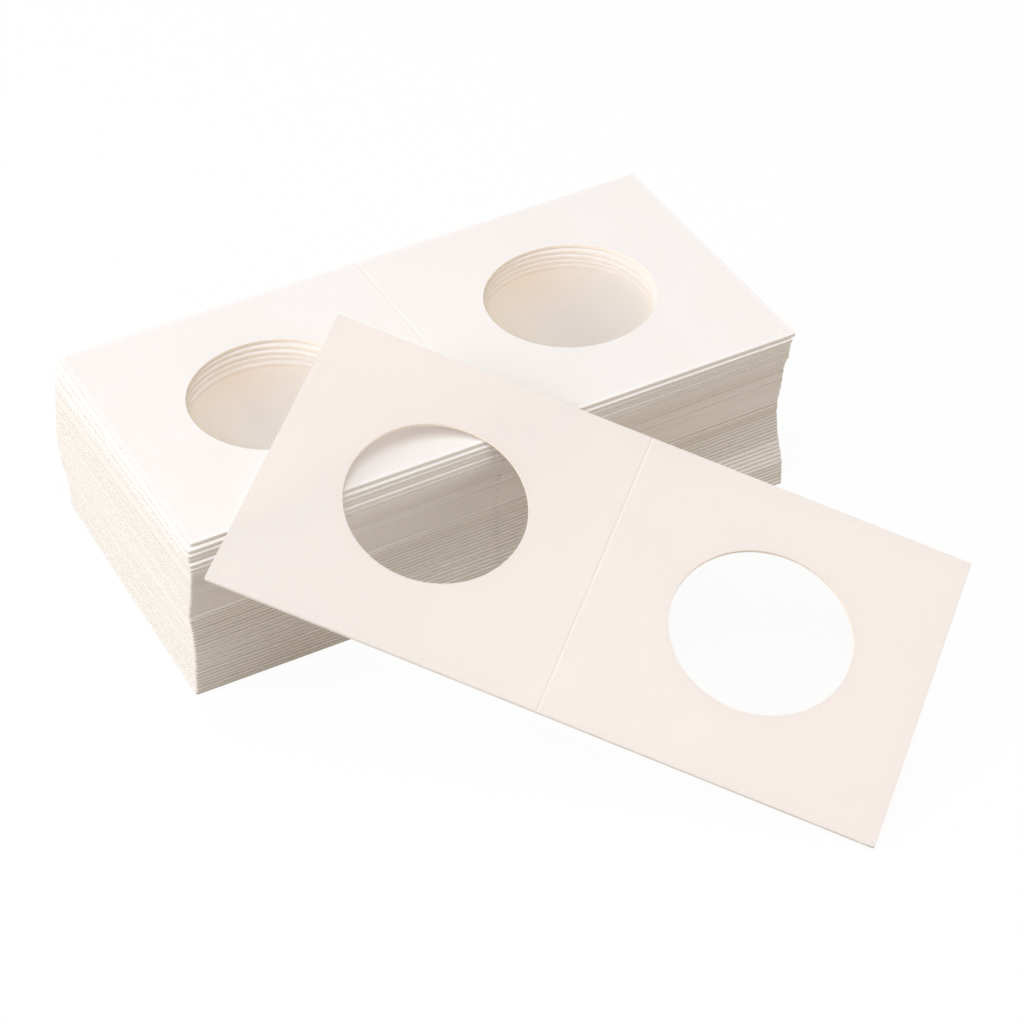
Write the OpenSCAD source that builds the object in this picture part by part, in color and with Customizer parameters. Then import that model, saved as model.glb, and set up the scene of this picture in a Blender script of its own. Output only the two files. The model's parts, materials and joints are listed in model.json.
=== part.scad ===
// Pack of paperboard coin flips: a squared-up pile of unfolded flips, and one more that leans on it.
// A flip is two square panels joined by a pressed crease. Each panel has a round window, and one clear
// film covers the inner face. A coin is laid on one window and the other panel folds over it.
// X runs along the pile, Y goes back from its front edge and Z goes up. The origin is the middle of
// the pile's base.

/* [Board] */
// Side of one square panel; an unfolded flip is two panels long
panel = 50.8; // [45:0.1:60]
// Thickness of the paperboard
board_t = 0.52; // [0.35:0.01:0.7]
// Radius of the die-cut corners
corner_r = 0.4; // [0.2:0.05:2]

/* [Window] */
// Diameter of the die-cut round window
window_d = 27.3; // [18:0.1:39]
// How far the window's centre sits above the middle of its panel
window_rise = 0.7; // [0:0.1:2]

/* [Crease] */
// Width of the pressed crease between the panels
crease_w = 0.6; // [0.4:0.05:1]
// Depth that the crease is pressed into the inner face
crease_depth = 0.08; // [0.05:0.01:0.25]

/* [Film] */
// Thickness of the clear film on the inner face
film_t = 0.05; // [0.03:0.01:0.1]
// Bare margin of board around the film
film_margin = 0.8; // [0.3:0.1:3]

/* [Pile] */
// Number of flips in the pile
pile_count = 49; // [20:1:49]
// Air between a flip and the one that lies on it
ply_gap = 0.014; // [0.005:0.001:0.04]
// How far single flips stray from the line of their neighbours
stray = 0.03; // [0:0.01:0.3]
// How far single flips turn from their neighbours, in degrees
stray_turn = 0.02; // [0:0.01:0.2]

/* [Leaning flip] */
// Length of slope from the pile's top edge down to the corner that stands on the floor
lean_reach = 80.8; // [70:0.1:95]
// Place of that corner along the pile's front edge, from the left end
lean_along = 68.3; // [60:0.1:75]
// Turn of the leaning flip in its own plane, in degrees
lean_yaw = -47.3; // [-50:0.1:-44]
// Clearance between the leaning flip and the pile's edge, square to the flip
lean_gap = 0.08; // [0.02:0.01:0.2]
// Clearance between the standing corner and the floor
foot_gap = 0.08; // [0.02:0.01:0.2]

/* [Hidden] */
$fn = 96;
// One overrun serves every cut
cut = 0.1;
// Clearance between the crease and the panel that folds
crease_gap = 0.03;
// Height of the folding axis above the film
fold_rise = 0.02;

flip_len = 2 * panel;
ply_t = board_t + film_t;
ply_pitch = ply_t + ply_gap;
top_ply = pile_count - 1;
pile_h = pile_count * ply_pitch - ply_gap;
fold_z = ply_t + fold_rise;
lean_tilt = asin((pile_h - foot_gap) / lean_reach);

// Drift of the pile from its base up. Each row holds the share of the pile's height, the shift along X
// and along Y as shares of the panel, and the turn in degrees. The pile was squared up by hand: it
// steps back up to its middle, most of all at its right end, leans out again above that, and its last
// six flips step back one by one.
drift_shares = [
    [0.000, 0.000, 0.000, 0.00], [0.030, 0.002, 0.003, 0.16], [0.120, 0.004, 0.007, 0.26],
    [0.150, 0.005, 0.012, 0.41], [0.185, 0.005, 0.019, 0.65], [0.245, 0.004, 0.028, 1.09],
    [0.275, 0.003, 0.032, 1.26], [0.365, 0.003, 0.037, 1.41], [0.425, 0.001, 0.039, 1.46],
    [0.479, 0.000, 0.032, 1.18], [0.500, 0.000, 0.036, 1.16], [0.580, 0.001, 0.026, 1.22],
    [0.640, 0.003, 0.020, 1.32], [0.760, 0.006, 0.014, 1.40], [0.790, 0.006, 0.009, 1.44],
    [0.850, 0.002, -0.009, 1.42], [0.875, 0.001, -0.018, 1.34], [0.896, 0.002, -0.017, 1.28],
    [0.917, 0.005, -0.015, 1.09], [0.938, 0.010, -0.008, 0.74], [0.958, 0.011, -0.008, 0.71],
    [0.979, 0.018, -0.004, 0.47], [1.000, 0.034, 0.008, 0.30],
];
// Flips at the top over which the stray dies out, so that the topmost lies where the drift puts it
stray_fade = 6;
// Steps of angle that scatter the strays unevenly from flip to flip
stray_steps = [137.5, 222.5, 99.7];

function height_share(i) = i / top_ply;
function drift(i, column) = lookup(height_share(i), [for (row = drift_shares) [row[0], row[column]]]);
function stray_share(i, axis) = min(1, (top_ply - i) / stray_fade) * sin(i * stray_steps[axis]);
function ply_x(i) = panel * drift(i, 1) + stray * stray_share(i, 0);
function ply_y(i) = panel * drift(i, 2) + stray * stray_share(i, 1);
function ply_turn(i) = drift(i, 3) + stray_turn * stray_share(i, 2);

function two_digits(i) = str(i < 10 ? "0" : "", i);
function board_name(i) = str("pile_board_", two_digits(i + 1));

// A die-cut sheet with rounded corners, centred, as a flat outline
module sheet_outline(size_x, size_y, r) {
    square([size_x - 2 * r, size_y], center = true);
    square([size_x, size_y - 2 * r], center = true);
    for (sx = [-1, 1], sy = [-1, 1])
        translate([sx * (size_x / 2 - r), sy * (size_y / 2 - r)])
            circle(r);
}

// The part of an outline on one side of the crease: side is -1 for the left and 1 for the right
module one_side(side) {
    intersection() {
        children();
        translate([side * (crease_w + flip_len) / 2, 0])
            square([flip_len, flip_len], center = true);
    }
}

module board_outline() {
    sheet_outline(flip_len, panel, corner_r);
}

module film_outline() {
    sheet_outline(flip_len - 2 * film_margin, panel - 2 * film_margin, corner_r);
}

// The round hole that is die-cut through one panel
module window_cut(side) {
    translate([side * panel / 2, window_rise, -cut])
        cylinder(d = window_d, h = board_t + 2 * cut);
}

// A whole flip's board, lying flat with its inner face up and its crease at X = 0
module whole_board() {
    difference() {
        linear_extrude(board_t) board_outline();
        for (side = [-1, 1]) window_cut(side);
        translate([-crease_w / 2, -panel, board_t - crease_depth])
            cube([crease_w, 2 * panel, crease_depth + cut]);
    }
}

module whole_film() {
    translate([0, 0, board_t])
        linear_extrude(film_t) film_outline();
}

// Puts a flip at its place in the pile, counted from the base
module at_ply(i) {
    translate([ply_x(i), ply_y(i), i * ply_pitch])
        rotate([0, 0, ply_turn(i)])
            children();
}

module pile_board(i) {
    color("floralwhite")
        at_ply(i) whole_board();
}

// The films of every flip below the topmost, one solid each
module pile_films() {
    color("azure", 0.35)
        for (i = [0 : top_ply - 1])
            at_ply(i) whole_film();
}

module top_board() {
    pile_board(top_ply);
}

module top_film() {
    color("azure", 0.35)
        at_ply(top_ply) whole_film();
}

// Puts the leaning flip's own frame where it leans: across the front edge of the topmost flip, with its
// lowest corner just clear of the floor
module at_lean() {
    at_ply(top_ply)
        translate([lean_along - panel, -panel / 2, ply_t])
            rotate([lean_tilt, 0, 0])
                translate([0, -lean_reach, lean_gap])
                    rotate([0, 0, lean_yaw])
                        translate([-panel, panel / 2, 0])
                            children();
}

// One panel of the leaning flip, up to its side of the crease
module half_board(side) {
    color("floralwhite")
        at_lean()
            difference() {
                linear_extrude(board_t) one_side(side) board_outline();
                window_cut(side);
            }
}

module half_film(side) {
    color("azure", 0.35)
        at_lean()
            translate([0, 0, board_t])
                linear_extrude(film_t) one_side(side) film_outline();
}

module left_panel() {
    half_board(-1);
}

module left_film() {
    half_film(-1);
}

// The thinned board in the crease, on the left panel's edge. It bends when the flip folds.
module crease_strip() {
    color("oldlace")
        at_lean()
            translate([-crease_w / 2, -panel / 2, 0])
                cube([crease_w - crease_gap, panel, board_t - crease_depth]);
}

module right_panel() {
    half_board(1);
}

module right_film() {
    half_film(1);
}

for (i = [0 : top_ply - 1])
    pile_board(i);
pile_films();
top_board();
top_film();
left_panel();
left_film();
crease_strip();
right_panel();
right_film();

// The hinge and the seats in the pile's frame, for whoever builds on this model
function turn_x(p, a) = [p[0], p[1] * cos(a) - p[2] * sin(a), p[1] * sin(a) + p[2] * cos(a)];
function turn_z(p, a) = [p[0] * cos(a) - p[1] * sin(a), p[0] * sin(a) + p[1] * cos(a), p[2]];
function lean_turn(p) = turn_z(turn_x(turn_z(p, lean_yaw), lean_tilt), ply_turn(top_ply));
function lean_point(p) =
    let (flat = turn_z(p + [-panel, panel / 2, 0], lean_yaw))
    let (sloped = turn_x(flat + [0, -lean_reach, lean_gap], lean_tilt))
    let (placed = turn_z(sloped + [lean_along - panel, -panel / 2, ply_t], ply_turn(top_ply)))
    placed + [ply_x(top_ply), ply_y(top_ply), top_ply * ply_pitch];
echo(hinge_point = lean_point([0, 0, fold_z]), hinge_axis = lean_turn([0, -1, 0]));
echo(coin_seat = lean_point([panel / 2, window_rise, ply_t]), seat_axis = lean_turn([0, 0, 1]));
echo(pile_height = pile_h, tilt = lean_tilt);
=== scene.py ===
"""The looks of a pack of paperboard coin flips: a squared-up pile, and one more flip that leans on it."""
import json
import math

import bpy
from mathutils import Euler, Matrix, Vector


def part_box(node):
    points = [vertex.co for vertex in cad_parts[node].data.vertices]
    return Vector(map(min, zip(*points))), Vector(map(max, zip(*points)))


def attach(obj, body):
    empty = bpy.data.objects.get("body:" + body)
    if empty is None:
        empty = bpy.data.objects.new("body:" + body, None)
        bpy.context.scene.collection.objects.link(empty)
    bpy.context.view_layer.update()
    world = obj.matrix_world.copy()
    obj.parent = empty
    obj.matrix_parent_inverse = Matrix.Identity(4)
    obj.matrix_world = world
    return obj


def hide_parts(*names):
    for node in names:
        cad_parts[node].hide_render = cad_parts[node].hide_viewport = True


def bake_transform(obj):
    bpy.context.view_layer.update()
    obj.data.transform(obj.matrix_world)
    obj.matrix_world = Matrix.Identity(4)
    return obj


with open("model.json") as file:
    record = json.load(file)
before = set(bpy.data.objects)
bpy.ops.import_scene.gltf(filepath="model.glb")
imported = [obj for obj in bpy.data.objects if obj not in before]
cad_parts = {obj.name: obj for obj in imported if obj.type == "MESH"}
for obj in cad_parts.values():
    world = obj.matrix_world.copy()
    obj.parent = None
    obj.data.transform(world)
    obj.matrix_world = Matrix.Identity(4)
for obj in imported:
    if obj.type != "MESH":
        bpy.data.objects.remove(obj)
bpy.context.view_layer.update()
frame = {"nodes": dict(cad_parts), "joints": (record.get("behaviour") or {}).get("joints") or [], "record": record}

MM = 0.001

# Sizes of one flip, as the CAD model has them
PANEL = 50.8 * MM
BOARD_T = 0.52 * MM
CORNER_R = 0.4 * MM
WINDOW_R = 13.65 * MM
WINDOW_RISE = 0.7 * MM
CREASE_W = 0.6 * MM
CREASE_DEPTH = 0.08 * MM
FILM_T = 0.05 * MM
FILM_MARGIN = 0.8 * MM
FOLD_RISE = 0.02 * MM
PLY_GAP = 0.014 * MM

FLIP_LEN = 2 * PANEL
PLY_T = BOARD_T + FILM_T
PLY_PITCH = PLY_T + PLY_GAP
FOLD_Z = PLY_T + FOLD_RISE
# How far the crease's rim is from the middle of a panel
CREASE_SIDE = (PANEL - CREASE_W) / 2

# Air left under a laminated film, so that its underside and the board never share one plane
FILM_SEAT = 0.006 * MM
# How far the board bulges on its outer face behind the pressed crease
BEAD = 0.05 * MM
# Depth of the crease on the flip that lies pressed flat on the pile
CREASE_SOFT = 0.03 * MM
# Rounding that the die leaves along a cut rim
RIM_R = 0.035 * MM
# Rounding of the lower flips of the pile, which come from a softer cut, and how many they are
ROUND_RIM_R = 0.08 * MM
ROUND_RIM_COUNT = 24
# Steps in the rounding of a rim, and the least turn between two faces that makes a rim
RIM_STEPS = 2
RIM_TURN = math.radians(50)
# A wall looks to the front when its normal's Y is below this
FRONT_LIMIT = -0.9


def joint(name):
    return next(one for one in frame["joints"] if one["name"] == name)


def mount(name):
    return next(one for one in frame["record"]["mounts"] if one["name"] == name)


def leaning_place():
    """The leaning flip's own frame: X along it, Z out of its inner face, from the middle of its crease."""
    up = Vector(mount("coin_seat")["axis"]).normalized()
    crease = -Vector(joint("crease_fold")["axis"])
    across = (crease - up * crease.dot(up)).normalized()
    along = across.cross(up)
    middle = Vector(joint("crease_fold")["pos_m"]) - up * FOLD_Z
    turned = Matrix((along, across, up)).transposed().to_4x4()
    return Matrix.Translation(middle) @ turned


def ply_place(node):
    """The frame of a flip in the pile, read from its board: where its middle is, and how it is turned."""
    low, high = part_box(node)
    walls = [face for face in frame["nodes"][node].data.polygons if face.normal.y < FRONT_LIMIT]
    front = max(walls, key=lambda face: face.area).normal
    turn = math.atan2(front.x, -front.y)
    middle = Vector(((low.x + high.x) / 2, (low.y + high.y) / 2, low.z))
    return Matrix.Translation(middle) @ Matrix.Rotation(turn, 4, "Z")


# Shader nodes

WHITE = (1, 1, 1, 1)


def add(tree, kind, inputs=None, **properties):
    """A new shader node. Each input is a value, or the output of another node."""
    made = tree.nodes.new("ShaderNode" + kind)
    for name, value in properties.items():
        setattr(made, name, value)
    for key, value in (inputs or {}).items():
        if isinstance(value, bpy.types.NodeSocket):
            tree.links.new(value, made.inputs[key])
        else:
            made.inputs[key].default_value = value
    return made


def math_node(tree, operation, *values):
    return add(tree, "Math", dict(enumerate(values)), operation=operation).outputs[0]


def product(tree, *factors):
    result = factors[0]
    for factor in factors[1:]:
        result = math_node(tree, "MULTIPLY", result, factor)
    return result


def weighed(tree, *parts):
    """The sum of some values, each times its weight."""
    total = 0.0
    for value, weight in parts:
        total = math_node(tree, "MULTIPLY_ADD", value, weight, total)
    return total


def ramp(tree, value, low, high, out_low=0.0, out_high=1.0):
    """The value mapped from low..high to out_low..out_high, held at the ends."""
    inputs = {0: value, 1: low, 2: high, 3: out_low, 4: out_high}
    return add(tree, "MapRange", inputs).outputs[0]


def band(tree, value, low, high, soft):
    """1 where the value is from low to high, falling to 0 over a distance soft on both sides."""
    return product(tree, ramp(tree, value, low - soft, low), ramp(tree, value, high, high + soft, 1, 0))


def split(tree, vector):
    """The X, Y and Z of a vector."""
    return add(tree, "SeparateXYZ", {0: vector}).outputs


def mix_colours(tree, share, first, second):
    return add(tree, "Mix", {0: share, 6: first, 7: second}, data_type="RGBA").outputs[2]


def mix_shaders(tree, share, first, second):
    return add(tree, "MixShader", {0: share, 1: first.outputs[0], 2: second.outputs[0]})


def noise(tree, place, size, detail, roughness):
    inputs = {"Vector": place, "Scale": 1 / size, "Detail": detail, "Roughness": roughness}
    return add(tree, "TexNoise", inputs).outputs[0]


def bumpy_normal(tree, height, strength, rise):
    """The normal of a surface that rises by this much from where height is 0 to where it is 1."""
    return add(tree, "Bump", {"Height": height, "Strength": strength, "Distance": rise}).outputs[0]


def new_material(name):
    material = bpy.data.materials.new(name)
    material.use_nodes = True
    material.node_tree.nodes.clear()
    return material, material.node_tree


def show(tree, shader):
    add(tree, "OutputMaterial", {"Surface": shader.outputs[0]})


# Paperboard

# Both tones of a face, on the flips of the pile and on the leaning one. The leaning one's are paler and
# cooler, which makes up for the light that goes through it.
PILE_FACE = (0.920, 0.906, 0.900, 1), (0.905, 0.889, 0.880, 1)
LEAN_FACE = (0.983, 0.988, 0.998, 1), (0.968, 0.971, 0.983, 1)
# Both tones of a cut edge, and of the window's cut edge, which is paler and warmer with painted warm light that
# bounces about in the wells
CUT_EDGE = (0.782, 0.745, 0.685, 1), (0.722, 0.675, 0.605, 1)
WINDOW_EDGE_WARM_LIGHT = (0.95, 0.86, 0.75, 1), (0.90, 0.79, 0.66, 1)
# Painted highlight along the upper rim of each flip's edge in the pile, where its ledge catches the light, and the
# painted shade under it
RIM_HIGHLIGHT = (0.96, 0.93, 0.88, 1)
RIM_SHADE = (0.63, 0.58, 0.505, 1)
SPECK = (0.36, 0.27, 0.19, 1)
# Share of the light on the leaning flip that enters its board, and the tint of what comes out below
THROUGH_SHARE = 0.33
THROUGH_WARM = (1.0, 0.875, 0.775, 1)

# Noises in the paperboard: the size, the detail and the roughness of each
MOTTLE = 9 * MM, 3, 0.5
CLOUDS = 1.6 * MM, 4, 0.6
POLISH = 1.6 * MM, 3, 0.5
FIBRES = 0.22 * MM, 5, 0.62
STREAKS = 0.13 * MM, 3, 0.6
FLUFF = 0.5 * MM, 4, 0.6
# Scales of the streaks' place along X, Y and Z, which draw them out along an edge
STREAK_DRAW = (0.12, 0.12, 1)
# How strongly the fibres show, and how far they rise
FIBRE_BUMP = 0.35, 0.012 * MM
# Range of the polish's noise, and the roughness at its ends
POLISH_RANGE = 0.3, 0.7
BOARD_ROUGH = 0.52, 0.66
# How strongly the board bends light, and the strength of its gloss
BOARD_IOR = 1.45
BOARD_SPECULAR = 0.35

# Weights that make up a face's tone, and their sum's range from one tone to the other
MOTTLE_WEIGHT = 0.6
CLOUDS_WEIGHT = 0.4
FACE_RANGE = 0.36, 0.64
# The same of an edge's tone, where each flip in the pile has its own
OWN_WEIGHT = 0.35
STREAKS_WEIGHT = 0.45
FLUFF_WEIGHT = 0.2
EDGE_RANGE = 0.3, 0.75
# One dark fibre lies in each cell of a face: its greatest radius, and how much of its colour shows
SPECK_CELL = 6.5 * MM
SPECK_R = 0.13 * MM
SPECK_SHARE = 0.75

# Range of a normal's upright part over which a wall turns into a face
WALL_RANGE = 0.3, 0.7
# Range of a normal's Y over which a wall stops being part of the pile's front
FRONT_RANGE = FRONT_LIMIT, -0.4
# Where the painted highlight on a flip's edge comes in and goes out, as shares of the flips' pitch
LINE_IN = 0.58, 0.7
LINE_OUT = 0.86, 0.9
# Heights in the pile between which its painted rim highlights and shade fade out, and their strength below that
RIMS_FADE_Z = 14.5 * MM
RIMS_END_Z = 14.6 * MM
RIMS_SHARE = 0.85
# One flip sits back from its neighbours, and at the pile's left its edge is painted as pale as a rim's highlight,
# which lifts the shade in that recess
NOTCH_LOW_Z = 13.98 * MM
NOTCH_HIGH_Z = 14.56 * MM
# The flips between these heights lie so flush at the pile's left that their rims hardly show there, and the
# painted rim highlights and shade are weaker there
CALM_LOW_Z = 4.8 * MM
CALM_HIGH_Z = 8.4 * MM
CALM_SOFT = 0.8 * MM
CALM_SHARE = 0.75
# Places along the pile between which what shows at its left dies out
LEFT_X = -30 * MM
LEFT_END_X = 15 * MM
# At the pile's right the flips between these heights stand out one by one, and the painted highlights on their lit
# ledges are wide
BROAD_LOW_Z = 4.0 * MM
BROAD_HIGH_Z = 7.0 * MM
BROAD_SOFT = 0.3 * MM
BROAD_IN = 0.22, 0.36
RIGHT_START_X = 20 * MM
RIGHT_X = 32 * MM


def specks(tree, place):
    """The few dark fibres that lie in the board's face. Elsewhere it is 0."""
    cells = add(tree, "TexVoronoi", {"Vector": place, "Scale": 1 / SPECK_CELL})
    size = add(tree, "SeparateColor", {0: cells.outputs["Color"]}).outputs[0]
    reach = math_node(tree, "MULTIPLY", size, SPECK_R / SPECK_CELL)
    inside = math_node(tree, "LESS_THAN", cells.outputs["Distance"], reach)
    return math_node(tree, "MULTIPLY", inside, SPECK_SHARE)


def face_colour(tree, place, tones):
    mottle = noise(tree, place, *MOTTLE)
    clouds = noise(tree, place, *CLOUDS)
    tone = weighed(tree, (mottle, MOTTLE_WEIGHT), (clouds, CLOUDS_WEIGHT))
    plain = mix_colours(tree, ramp(tree, tone, *FACE_RANGE), *tones)
    return mix_colours(tree, specks(tree, place), plain, SPECK)


def edge_colour(tree, place, tones):
    """A cut edge: warmer than the face, streaked along its plies, with a tone of its own for each flip."""
    count = math_node(tree, "FLOOR", math_node(tree, "DIVIDE", split(tree, place)[2], PLY_PITCH))
    own = add(tree, "TexWhiteNoise", {"W": count}, noise_dimensions="1D").outputs["Value"]
    drawn = add(tree, "Mapping", {"Vector": place, "Scale": STREAK_DRAW}).outputs[0]
    streaks = noise(tree, drawn, *STREAKS)
    fluff = noise(tree, place, *FLUFF)
    tone = weighed(tree, (own, OWN_WEIGHT), (streaks, STREAKS_WEIGHT), (fluff, FLUFF_WEIGHT))
    return mix_colours(tree, ramp(tree, tone, *EDGE_RANGE), *tones)


def rim_highlight_lines(tree, along, height, at_left):
    """1 on the painted highlight along the upper rim of each flip in the pile, and 0 on the painted shade between
    the lines.
    """
    within = math_node(tree, "FRACT", math_node(tree, "DIVIDE", height, PLY_PITCH))
    line = product(tree, ramp(tree, within, *LINE_IN), ramp(tree, within, *LINE_OUT, 1, 0))
    over = math_node(tree, "GREATER_THAN", height, NOTCH_LOW_Z)
    under = math_node(tree, "LESS_THAN", height, NOTCH_HIGH_Z)
    # Painted highlight over the recessed flip's edge at the left, lifting its shade
    recess_highlight = product(tree, over, under, at_left)
    at_right = ramp(tree, along, RIGHT_START_X, RIGHT_X)
    among = band(tree, height, BROAD_LOW_Z, BROAD_HIGH_Z, BROAD_SOFT)
    # Wide painted highlights on the lit ledges at the pile's right
    broad_highlight = product(tree, ramp(tree, within, *BROAD_IN), at_right, among)
    return math_node(tree, "MAXIMUM", math_node(tree, "MAXIMUM", line, recess_highlight), broad_highlight)


def painted_rim_light(tree, place, normal, edge):
    """The edge, with the painted highlights and shade on the rims of the pile's lower flips, on its front."""
    along, _, height = split(tree, place)
    at_left = ramp(tree, along, LEFT_X, LEFT_END_X, 1, 0)
    # Painted highlight on each rim, painted shade between the rims
    rims = mix_colours(tree, rim_highlight_lines(tree, along, height, at_left), RIM_SHADE, RIM_HIGHLIGHT)
    low = ramp(tree, height, RIMS_FADE_Z, RIMS_END_Z, RIMS_SHARE, 0)
    front = ramp(tree, split(tree, normal)[1], *FRONT_RANGE, 1, 0)
    calm = product(tree, band(tree, height, CALM_LOW_Z, CALM_HIGH_Z, CALM_SOFT), at_left, CALM_SHARE)
    clear = product(tree, low, front, math_node(tree, "SUBTRACT", 1.0, calm))
    return mix_colours(tree, clear, edge, rims)


def board_material(name, face=None, edge=None, through=0.0):
    """Uncoated paperboard. Each kind of surface is given by its two tones. With both kinds, a flat board's
    upright walls are its cut edges. A share of the light goes through."""
    material, tree = new_material(name)
    place = add(tree, "TexCoord").outputs["Object"]
    if face and edge:
        normal = add(tree, "NewGeometry").outputs["True Normal"]
        upright = math_node(tree, "ABSOLUTE", split(tree, normal)[2])
        # The pile's front walls get painted rim highlights and shade
        wall = painted_rim_light(tree, place, normal, edge_colour(tree, place, edge))
        on_wall = ramp(tree, upright, *WALL_RANGE, 1, 0)
        colour = mix_colours(tree, on_wall, face_colour(tree, place, face), wall)
    else:
        colour = face_colour(tree, place, face) if face else edge_colour(tree, place, edge)
    rough = ramp(tree, noise(tree, place, *POLISH), *POLISH_RANGE, *BOARD_ROUGH)
    normal = bumpy_normal(tree, noise(tree, place, *FIBRES), *FIBRE_BUMP)
    inputs = {"Base Color": colour, "Roughness": rough, "Normal": normal}
    inputs.update({"IOR": BOARD_IOR, "Specular IOR Level": BOARD_SPECULAR})
    shader = add(tree, "BsdfPrincipled", inputs)
    if through:
        passed = add(tree, "BsdfTranslucent", {"Color": THROUGH_WARM})
        shader = mix_shaders(tree, through, shader, passed)
    show(tree, shader)
    return material


# Film

# What shows a few flips down in a well, painted with the well's light and shade: warm with painted light at its
# left wall and with painted shade by its far wall, grey before its near rim, and pale with painted light at its
# right.
# The pale tone is also the haze of the leaning flip's film
MILK_LEFT_LIGHT = (0.875, 0.785, 0.665, 1)
MILK_FAR_SHADE = (0.82, 0.675, 0.54, 1)
MILK_GREY = (0.725, 0.675, 0.63, 1)
MILK_PALE_AND_LIGHT = (0.84, 0.79, 0.73, 1)
# Places across the pile between which the grey turns to the warm painted shade
MILK_GREY_Y = -0.065 * PANEL
MILK_FAR_SHADE_Y = 0.25 * PANEL
# Shares of a panel's width over which the painted light by the left wall goes out, and the painted light at the
# right comes in
LEFT_OUT = 0.25, 0.45
PALE_IN = 0.5, 0.8
# Share of each film surface that dust and gloss veil: on the topmost film and on the last clear one, with
# their heights, on the leaning flip, and where the films below hide the rest of a well
VEIL_TOP = 0.03
VEIL_DEEP = 0.24
TOP_FILM_Z = 28.58 * MM
DEEP_FILM_Z = 26.83 * MM
VEIL_LEAN = 0.004
VEIL_CLOSED = 1.0
CLEAR_TINT = (0.997, 0.997, 0.996, 1)
# Share of the light that a film surface mirrors when seen square on, the most that it mirrors, and how
# steeply that grows as the view gets more slanted
GLOSS_SQUARE = 0.02
GLOSS_MOST = 0.3
GLOSS_POWER = 5.0
# Roughness of the film's gloss
GLOSS_ROUGH = 0.08
# The blend at which a Layer Weight's facing is 1 less the cosine of the view's slant
EVEN_BLEND = 0.5
# The film's slow waves: their noise, how strongly they show, and how far they rise
RIPPLES = 7 * MM, 2, 0.5
RIPPLE_BUMP = 0.15, 0.05 * MM


def milk_painted_light(tree, place):
    """The haze deep in a well, with painted light and shade by the place in its own panel: from its left rim to
    its right, and towards its near rim."""
    along, across, _ = split(tree, place)
    panels = math_node(tree, "DIVIDE", math_node(tree, "ADD", along, FLIP_LEN), PANEL)
    share = math_node(tree, "FRACT", panels)
    # Painted shade warms the far side; painted light lifts the left wall's shadow and brightens the right
    middle = mix_colours(tree, ramp(tree, across, MILK_GREY_Y, MILK_FAR_SHADE_Y), MILK_GREY, MILK_FAR_SHADE)
    left = mix_colours(tree, ramp(tree, share, *LEFT_OUT), MILK_LEFT_LIGHT, middle)
    return mix_colours(tree, ramp(tree, share, *PALE_IN), left, MILK_PALE_AND_LIGHT)


def veil_by_height(tree, place):
    return ramp(tree, split(tree, place)[2], DEEP_FILM_Z, TOP_FILM_Z, VEIL_DEEP, VEIL_TOP)


def film_material(name, veil=None, milk=None):
    """Clear film, of which a share, the veil, is milky. Where the veil or the milk's colour isn't given, it is
    that of the pile's wells, with their painted light and shade."""
    material, tree = new_material(name)
    place = add(tree, "TexCoord").outputs["Object"]
    clear = add(tree, "BsdfTransparent", {"Color": CLEAR_TINT})
    haze = add(tree, "BsdfDiffuse", {"Color": milk or milk_painted_light(tree, place)})
    body = mix_shaders(tree, veil or veil_by_height(tree, place), clear, haze)
    normal = bumpy_normal(tree, noise(tree, place, *RIPPLES), *RIPPLE_BUMP)
    gloss = add(tree, "BsdfGlossy", {"Roughness": GLOSS_ROUGH, "Normal": normal})
    facing = add(tree, "LayerWeight", {"Blend": EVEN_BLEND}).outputs["Facing"]
    slant = math_node(tree, "POWER", facing, GLOSS_POWER)
    sheen = ramp(tree, slant, 0, 1, GLOSS_SQUARE, GLOSS_MOST)
    show(tree, mix_shaders(tree, sheen, body, gloss))
    return material


pile_face = board_material("pile_face", face=PILE_FACE)
lean_face = board_material("lean_face", face=LEAN_FACE, through=THROUGH_SHARE)
board_edge = board_material("board_edge", edge=CUT_EDGE)
# Window walls, paler and warmer with painted warm light
window_edge_warm_light = board_material("window_edge_warm_light", edge=WINDOW_EDGE_WARM_LIGHT)
board_flat = board_material("board_flat", face=PILE_FACE, edge=CUT_EDGE)
# The leaning flip's film takes the pale haze tone only, without the wells' painted light
film_clear = film_material("film_clear", veil=VEIL_LEAN, milk=MILK_PALE_AND_LIGHT)
film_piled = film_material("film_piled")
# The film that closes the wells carries their painted light and shade
film_closed = film_material("film_closed", veil=VEIL_CLOSED)


# Meshes

# Rays from a window's centre to the panel's outline, along which the board's mesh has its points
RAYS = 96
# Shares of the way from the window's rim to the panel's outline
RING_SHARES = (0.12, 0.3, 0.5, 0.7, 0.88)
# Distance from a rim at which the mesh has its first line of points
RIM_LINE = 0.12 * MM
# Columns of the mesh over a crease, and steps round a die-cut corner
CREASE_STEPS = 8
ARC_STEPS = 4
# Two coordinates in metres are the same when they are to this many decimals
SAME_DECIMALS = 8
# A point is on a line when it is no further from it than this
ON_LINE = 0.0001 * MM
# A ray with a smaller part than this across a side runs along it, and never meets it
ALONG_SIDE = 1e-9


def corner_middle(side, rise):
    """The middle of the round corner at one outer end of the outline, seen from its window's centre."""
    return Vector((PANEL / 2 - CORNER_R, side * (PANEL / 2 - CORNER_R) - rise))


def outline_reach(angle, rise):
    """How far a panel's outline is from its window's centre, on the ray at this angle. The outer side is at
    angle 0 and the crease at pi."""
    right, up = math.cos(angle), math.sin(angle)
    sides = [
        (right, PANEL / 2 if right > 0 else -CREASE_SIDE),
        (up, (PANEL / 2 if up > 0 else -PANEL / 2) - rise),
    ]
    reach = min(side / part for part, side in sides if abs(part) > ALONG_SIDE)
    return min(reach, corner_reach(angle, rise, reach))


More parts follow.
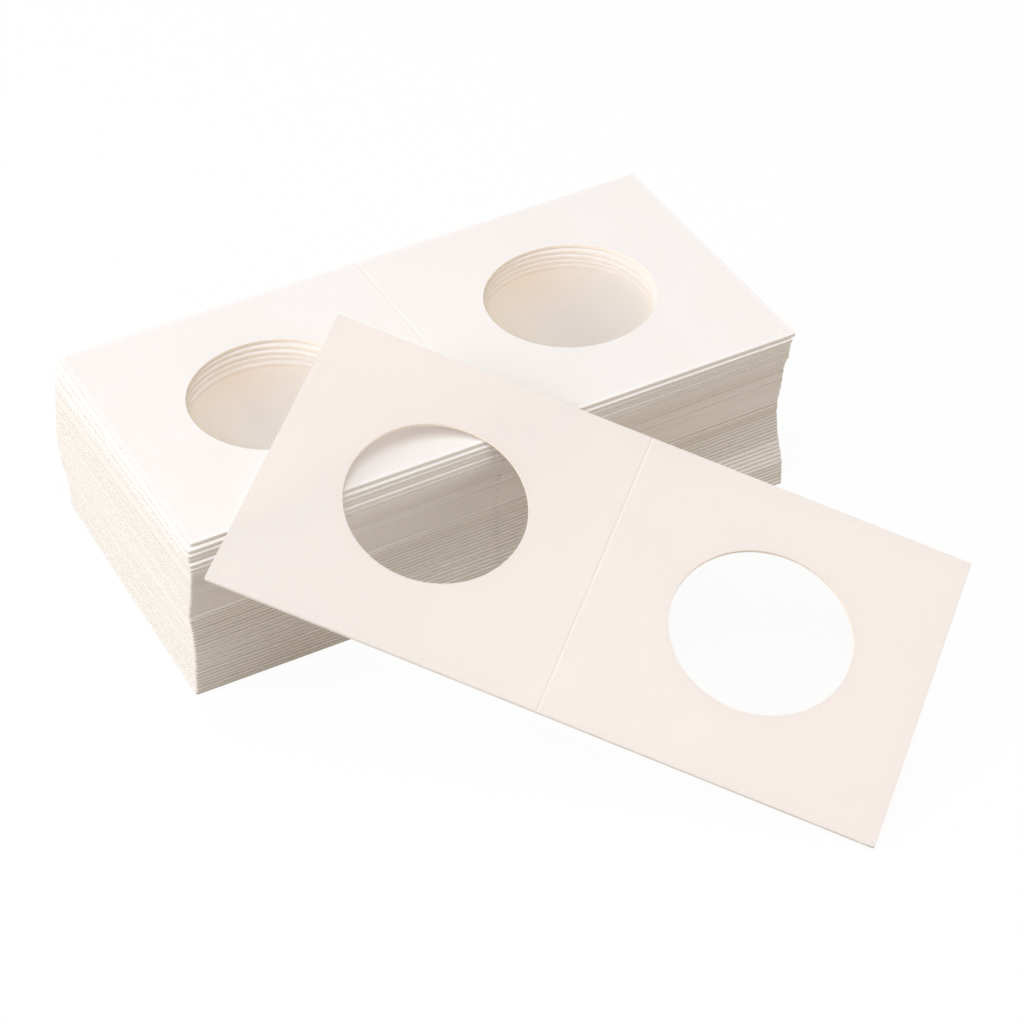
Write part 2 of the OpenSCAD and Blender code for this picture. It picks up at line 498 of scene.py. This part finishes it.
def corner_reach(angle, rise, reach):
    """The same, where the ray leaves through a die-cut round corner. Elsewhere it is the reach given."""
    ray = Vector((math.cos(angle), math.sin(angle)))
    for side in (-1, 1):
        middle = corner_middle(side, rise)
        far = ray * reach - middle
        if far.x > 0 and far.y * side > 0:
            along = ray.dot(middle)
            return along + math.sqrt(along**2 - middle.length_squared + CORNER_R**2)
    return reach


def ray_angles(rise):
    """The rays' angles: even steps, with the outline's corners among them."""
    marks = []
    for side in (-1, 1):
        marks.append(math.atan2(side * PANEL / 2 - rise, -CREASE_SIDE))
        for step in range(ARC_STEPS + 1):
            turn = side * step * math.pi / 2 / ARC_STEPS
            point = corner_middle(side, rise) + CORNER_R * Vector((math.cos(turn), math.sin(turn)))
            marks.append(math.atan2(point.y, point.x))
    marks = [mark % math.tau for mark in marks]
    gap = math.tau / RAYS
    even = [step * gap for step in range(RAYS)]
    clear = [angle for angle in even if all(abs(angle - mark) > gap / 4 for mark in marks)]
    return sorted(marks + clear)


def crease_columns():
    return [CREASE_W * (step / CREASE_STEPS - 0.5) for step in range(CREASE_STEPS + 1)]


def board_layout(rise):
    """Points and quads of a flip's board seen from above, with both windows open. rise is how far the
    windows sit above the middle of their panels."""
    points, quads, found = [], [], {}

    def point(x, y):
        key = (round(x, SAME_DECIMALS), round(y, SAME_DECIMALS))
        if key not in found:
            found[key] = len(points)
            points.append((x, y))
        return found[key]

    angles = ray_angles(rise)
    crease_rows = set()
    for side in (-1, 1):
        rays = []
        for angle in angles:
            reach = outline_reach(angle, rise)
            near, far = WINDOW_R + RIM_LINE, reach - RIM_LINE
            rings = [near + share * (far - near) for share in RING_SHARES]
            stops = [WINDOW_R, near] + rings + [far, reach]
            right, up = math.cos(angle), math.sin(angle)
            rays.append([point(side * (PANEL / 2 + stop * right), rise + stop * up) for stop in stops])
            if abs(reach * right + CREASE_SIDE) < ON_LINE:
                crease_rows.add(round(rise + reach * up, SAME_DECIMALS))
        for ray, following in zip(rays, rays[1:] + rays[:1]):
            for k in range(len(ray) - 1):
                quad = (ray[k], ray[k + 1], following[k + 1], following[k])
                quads.append(quad if side > 0 else quad[::-1])
    rows = sorted(crease_rows)
    columns = crease_columns()
    for low, high in zip(rows, rows[1:]):
        for left, right in zip(columns, columns[1:]):
            quads.append((point(left, low), point(right, low), point(right, high), point(left, high)))
    return points, quads


def film_layout():
    """Points and quads of a flip's film: a plain sheet with narrow columns over the crease."""
    half_x, half_y = FLIP_LEN / 2 - FILM_MARGIN, PANEL / 2 - FILM_MARGIN
    columns = [-half_x, -half_x / 2] + crease_columns() + [half_x / 2, half_x]
    rows = [-half_y, 0, half_y]
    points = [(x, y) for y in rows for x in columns]
    wide = len(columns)
    quads = []
    for j in range(len(rows) - 1):
        for i in range(wide - 1):
            start = j * wide + i
            quads.append((start, start + 1, start + 1 + wide, start + wide))
    return points, quads


def pressed(x, depth):
    """How deep the crease is at this distance from its middle."""
    return depth * (1 + math.cos(math.tau * x / CREASE_W)) / 2 if abs(x) < CREASE_W / 2 else 0


def around_window(x, y):
    """True for a point on a window's rim, and not on the outline."""
    return abs(y) < PANEL / 2 - CORNER_R and CREASE_W < abs(x) < PANEL - CORNER_R


# Which of a piece's materials goes on its faces, its outer walls and the walls of its windows
ON_FACE, ON_EDGE, ON_WINDOW = range(3)


def slab(layout, upper, lower, place):
    """The vertices and faces of a thin solid over a layout, and what each face is. Its upper and its lower
    surface are each given by a height, and by how deep the crease is pressed into it."""
    points, quads = layout
    count = len(points)
    corners = [(x, y, z - pressed(x, depth)) for z, depth in (upper, lower) for x, y in points]
    vertices = [place @ Vector(corner) for corner in corners]
    faces = list(quads) + [tuple(count + index for index in reversed(quad)) for quad in quads]
    edges = {(quad[i], quad[(i + 1) % 4]) for quad in quads for i in range(4)}
    rims = [(start, end) for start, end in sorted(edges) if (end, start) not in edges]
    kinds = [ON_FACE] * len(faces)
    kinds += [ON_WINDOW if around_window(*points[start]) else ON_EDGE for start, end in rims]
    faces += [(start, count + start, count + end, end) for start, end in rims]
    return vertices, faces, kinds


def mesh_piece(name, slabs, materials):
    """One object made of several thin solids. Where it has fewer materials than kinds of face, the last
    one does for the rest."""
    vertices, faces, kinds = [], [], []
    for own_vertices, own_faces, own_kinds in slabs:
        start = len(vertices)
        vertices += own_vertices
        faces += [tuple(start + index for index in face) for face in own_faces]
        kinds += own_kinds
    mesh = bpy.data.meshes.new(name)
    mesh.from_pydata(vertices, [], faces)
    for material in materials:
        mesh.materials.append(material)
    for polygon, kind in zip(mesh.polygons, kinds):
        polygon.material_index = min(kind, len(materials) - 1)
    mesh.validate()
    piece = bpy.data.objects.new(name, mesh)
    bpy.context.scene.collection.objects.link(piece)
    return piece


def rim_bevel(piece, radius):
    bevel = piece.modifiers.new("rims", "BEVEL")
    bevel.width = radius
    bevel.segments = RIM_STEPS
    bevel.limit_method = "ANGLE"
    bevel.angle_limit = RIM_TURN
    return bevel


def round_rims(piece):
    """Rounds the cut rims, and leaves the faces flat."""
    bevel = rim_bevel(piece, RIM_R)
    bevel.harden_normals = True
    for polygon in piece.data.polygons:
        polygon.use_smooth = True
    bpy.context.view_layer.objects.active = piece
    with bpy.context.temp_override(object=piece, active_object=piece):
        bpy.ops.object.modifier_apply(modifier=bevel.name)


def flip_board(name, place, depth, bead, face, rise=WINDOW_RISE):
    sheet = slab(board_layout(rise), (BOARD_T, depth), (0, bead), place)
    piece = mesh_piece(name, [sheet], [face, board_edge, window_edge_warm_light])
    round_rims(piece)
    return piece


def flip_film(name, places, material, depth, clear=True):
    """Films of one or more flips. Clear ones hold back hardly any light, so they cast no shadow."""
    layout = film_layout()
    sheets = [slab(layout, (PLY_T, depth), (BOARD_T + FILM_SEAT, depth), place) for place in places]
    piece = mesh_piece(name, sheets, [material])
    piece.visible_shadow = not clear
    piece.visible_diffuse = not clear
    return piece


# The pile

# How much lower the windows of the upper flips sit than the topmost one's, from the second one down. The
# die doesn't hit every flip in the same place.
WINDOW_LOWS = (0.0, 0.3 * MM, 0.85 * MM, 1.2 * MM, 1.2 * MM)
# The films of every second one of this many flips below the topmost let the eye through, and those below
# them look like one milky film, which carries the wells' painted light and shade
CLEAR_DEPTH = 4

ply_nodes = sorted(name for name in frame["nodes"] if name.startswith("pile_board_"))
for number, name in enumerate(ply_nodes):
    board = frame["nodes"][name]
    board.material_slots[0].material = board_flat
    # The flips that lie flush keep their sharp rims
    calm = CALM_LOW_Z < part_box(name)[0].z < CALM_HIGH_Z
    if number < ROUND_RIM_COUNT and not calm:
        rim_bevel(board, ROUND_RIM_R).use_clamp_overlap = False

for name, low in zip(reversed(ply_nodes), WINDOW_LOWS):
    rise = WINDOW_RISE - low
    sheet = flip_board(name.replace("board", "flip"), ply_place(name), CREASE_DEPTH, 0, pile_face, rise)
    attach(sheet, "pile")
    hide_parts(name)

film_places = [ply_place(name) for name in reversed(ply_nodes)]
upper_films = flip_film("pile_films_upper", film_places[:CLEAR_DEPTH:2], film_piled, CREASE_DEPTH)
deep_films = flip_film("pile_films_deep", film_places[CLEAR_DEPTH:], film_closed, CREASE_DEPTH, clear=False)
for sheets in (deep_films, upper_films):
    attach(sheets, "pile")
    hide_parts("pile_films")

top_sheet = flip_board("top_flip_board", ply_place("top_board"), CREASE_SOFT, 0, pile_face)
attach(top_sheet, "top_flip")
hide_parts("top_board")

top_film = flip_film("top_flip_film", [ply_place("top_board")], film_piled, CREASE_SOFT)
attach(top_film, "top_flip")
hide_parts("top_film")


# The leaning flip

lean = leaning_place()

lean_sheet = flip_board("leaning_flip_board", lean, CREASE_DEPTH, BEAD, lean_face)
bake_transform(lean_sheet)
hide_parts("left_panel", "crease_strip", "right_panel")

lean_film = flip_film("leaning_flip_film", [lean], film_clear, CREASE_DEPTH)
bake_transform(lean_film)
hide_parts("left_film", "right_film")


# The floor, the light and the camera

FLOOR_SIZE = 3000 * MM
FLOOR_DROP = 0.05 * MM
# The floor that throws light on the object, and the floor in shade that the camera sees
FLOOR_PALE = (0.67, 0.655, 0.64, 1)
FLOOR_SOFT = (0.95, 0.95, 0.95, 1)
# Share of white that the camera sees on the floor whatever falls on it, so that a faint shadow is left
FLOOR_WHITE_SHARE = 0.95


def sees_background(tree):
    """1 for rays that should meet the plain white background, and 0 for the light that falls on things."""
    path = add(tree, "LightPath").outputs
    mirrored = math_node(tree, "MAXIMUM", path["Is Glossy Ray"], path["Is Transmission Ray"])
    return math_node(tree, "MAXIMUM", path["Is Camera Ray"], mirrored)


def floor_material():
    material, tree = new_material("floor_white")
    lit = add(tree, "BsdfDiffuse", {"Color": FLOOR_PALE})
    white = add(tree, "Emission", {"Color": WHITE, "Strength": 1.0})
    soft = add(tree, "BsdfDiffuse", {"Color": FLOOR_SOFT})
    seen = mix_shaders(tree, FLOOR_WHITE_SHARE, soft, white)
    show(tree, mix_shaders(tree, sees_background(tree), lit, seen))
    return material


def make_floor():
    half = FLOOR_SIZE / 2
    outline = ((-half, -half), (half, -half), (half, half), (-half, half))
    mesh = bpy.data.meshes.new("floor")
    mesh.from_pydata([(x, y, -FLOOR_DROP) for x, y in outline], [], [(0, 1, 2, 3)])
    mesh.materials.append(floor_material())
    floor = bpy.data.objects.new("floor", mesh)
    bpy.context.scene.collection.objects.link(floor)


WORLD_LIGHT = (1.0, 0.88, 0.76, 1)
WORLD_STRENGTH = 0.43


def make_world():
    world = bpy.data.worlds.new("studio")
    world.use_nodes = True
    tree = world.node_tree
    tree.nodes.clear()
    soft = add(tree, "Background", {"Color": WORLD_LIGHT, "Strength": WORLD_STRENGTH})
    white = add(tree, "Background", {"Color": WHITE, "Strength": 1.0})
    both = mix_shaders(tree, sees_background(tree), soft, white)
    add(tree, "OutputWorld", {"Surface": both.outputs[0]})
    bpy.context.scene.world = world


# Each lamp: its name, the direction it shines from, its distance and width in metres, its power in watts,
# and its colour
LAMPS = (
    ("window", (-0.93, 0.22, 0.30), 0.9, 0.7, 6.25, (0.98, 1.0, 1.05)),
    ("overhead", (-0.12, -0.05, 1.0), 0.65, 0.75, 2.3, (0.975, 1.01, 1.07)),
    ("fill", (0.58, -0.79, 0.18), 0.5, 0.5, 0.58, (1.0, 0.96, 0.91)),
)


def make_lamps():
    """Soft lamps that the films don't mirror, so that no view has their glare on a whole flip."""
    for name, direction, distance, width, power, colour in LAMPS:
        data = bpy.data.lights.new(name, "AREA")
        data.shape = "DISK"
        data.size = width
        data.energy = power
        data.color = colour
        lamp = bpy.data.objects.new(name, data)
        lamp.visible_glossy = False
        away = Vector(direction).normalized()
        lamp.location = away * distance
        lamp.rotation_euler = away.to_track_quat("Z", "Y").to_euler()
        bpy.context.scene.collection.objects.link(lamp)


CAMERA_PLACE = Vector((-158.0, -346.7, 314.5)) * MM
CAMERA_AZIMUTH = math.radians(-26.54)
CAMERA_DOWN = math.radians(39.95)
CAMERA_ROLL = math.radians(-1.74)
# The lens and the sensor are in millimetres, as Blender takes them
CAMERA_LENS = 108.73
CAMERA_SENSOR = 36
CAMERA_NEAR = 10 * MM


def make_camera():
    data = bpy.data.cameras.new("camera")
    data.lens = CAMERA_LENS
    data.sensor_width = CAMERA_SENSOR
    data.clip_start = CAMERA_NEAR
    camera = bpy.data.objects.new("camera", data)
    aim = Euler((math.pi / 2 - CAMERA_DOWN, 0, CAMERA_AZIMUTH)).to_matrix()
    roll = Matrix.Rotation(CAMERA_ROLL, 3, "Z")
    camera.rotation_euler = (aim @ roll).to_euler()
    camera.location = CAMERA_PLACE
    bpy.context.scene.collection.objects.link(camera)
    bpy.context.scene.camera = camera


make_floor()
make_world()
make_lamps()
make_camera()
bpy.context.scene.view_settings.view_transform = "Standard"
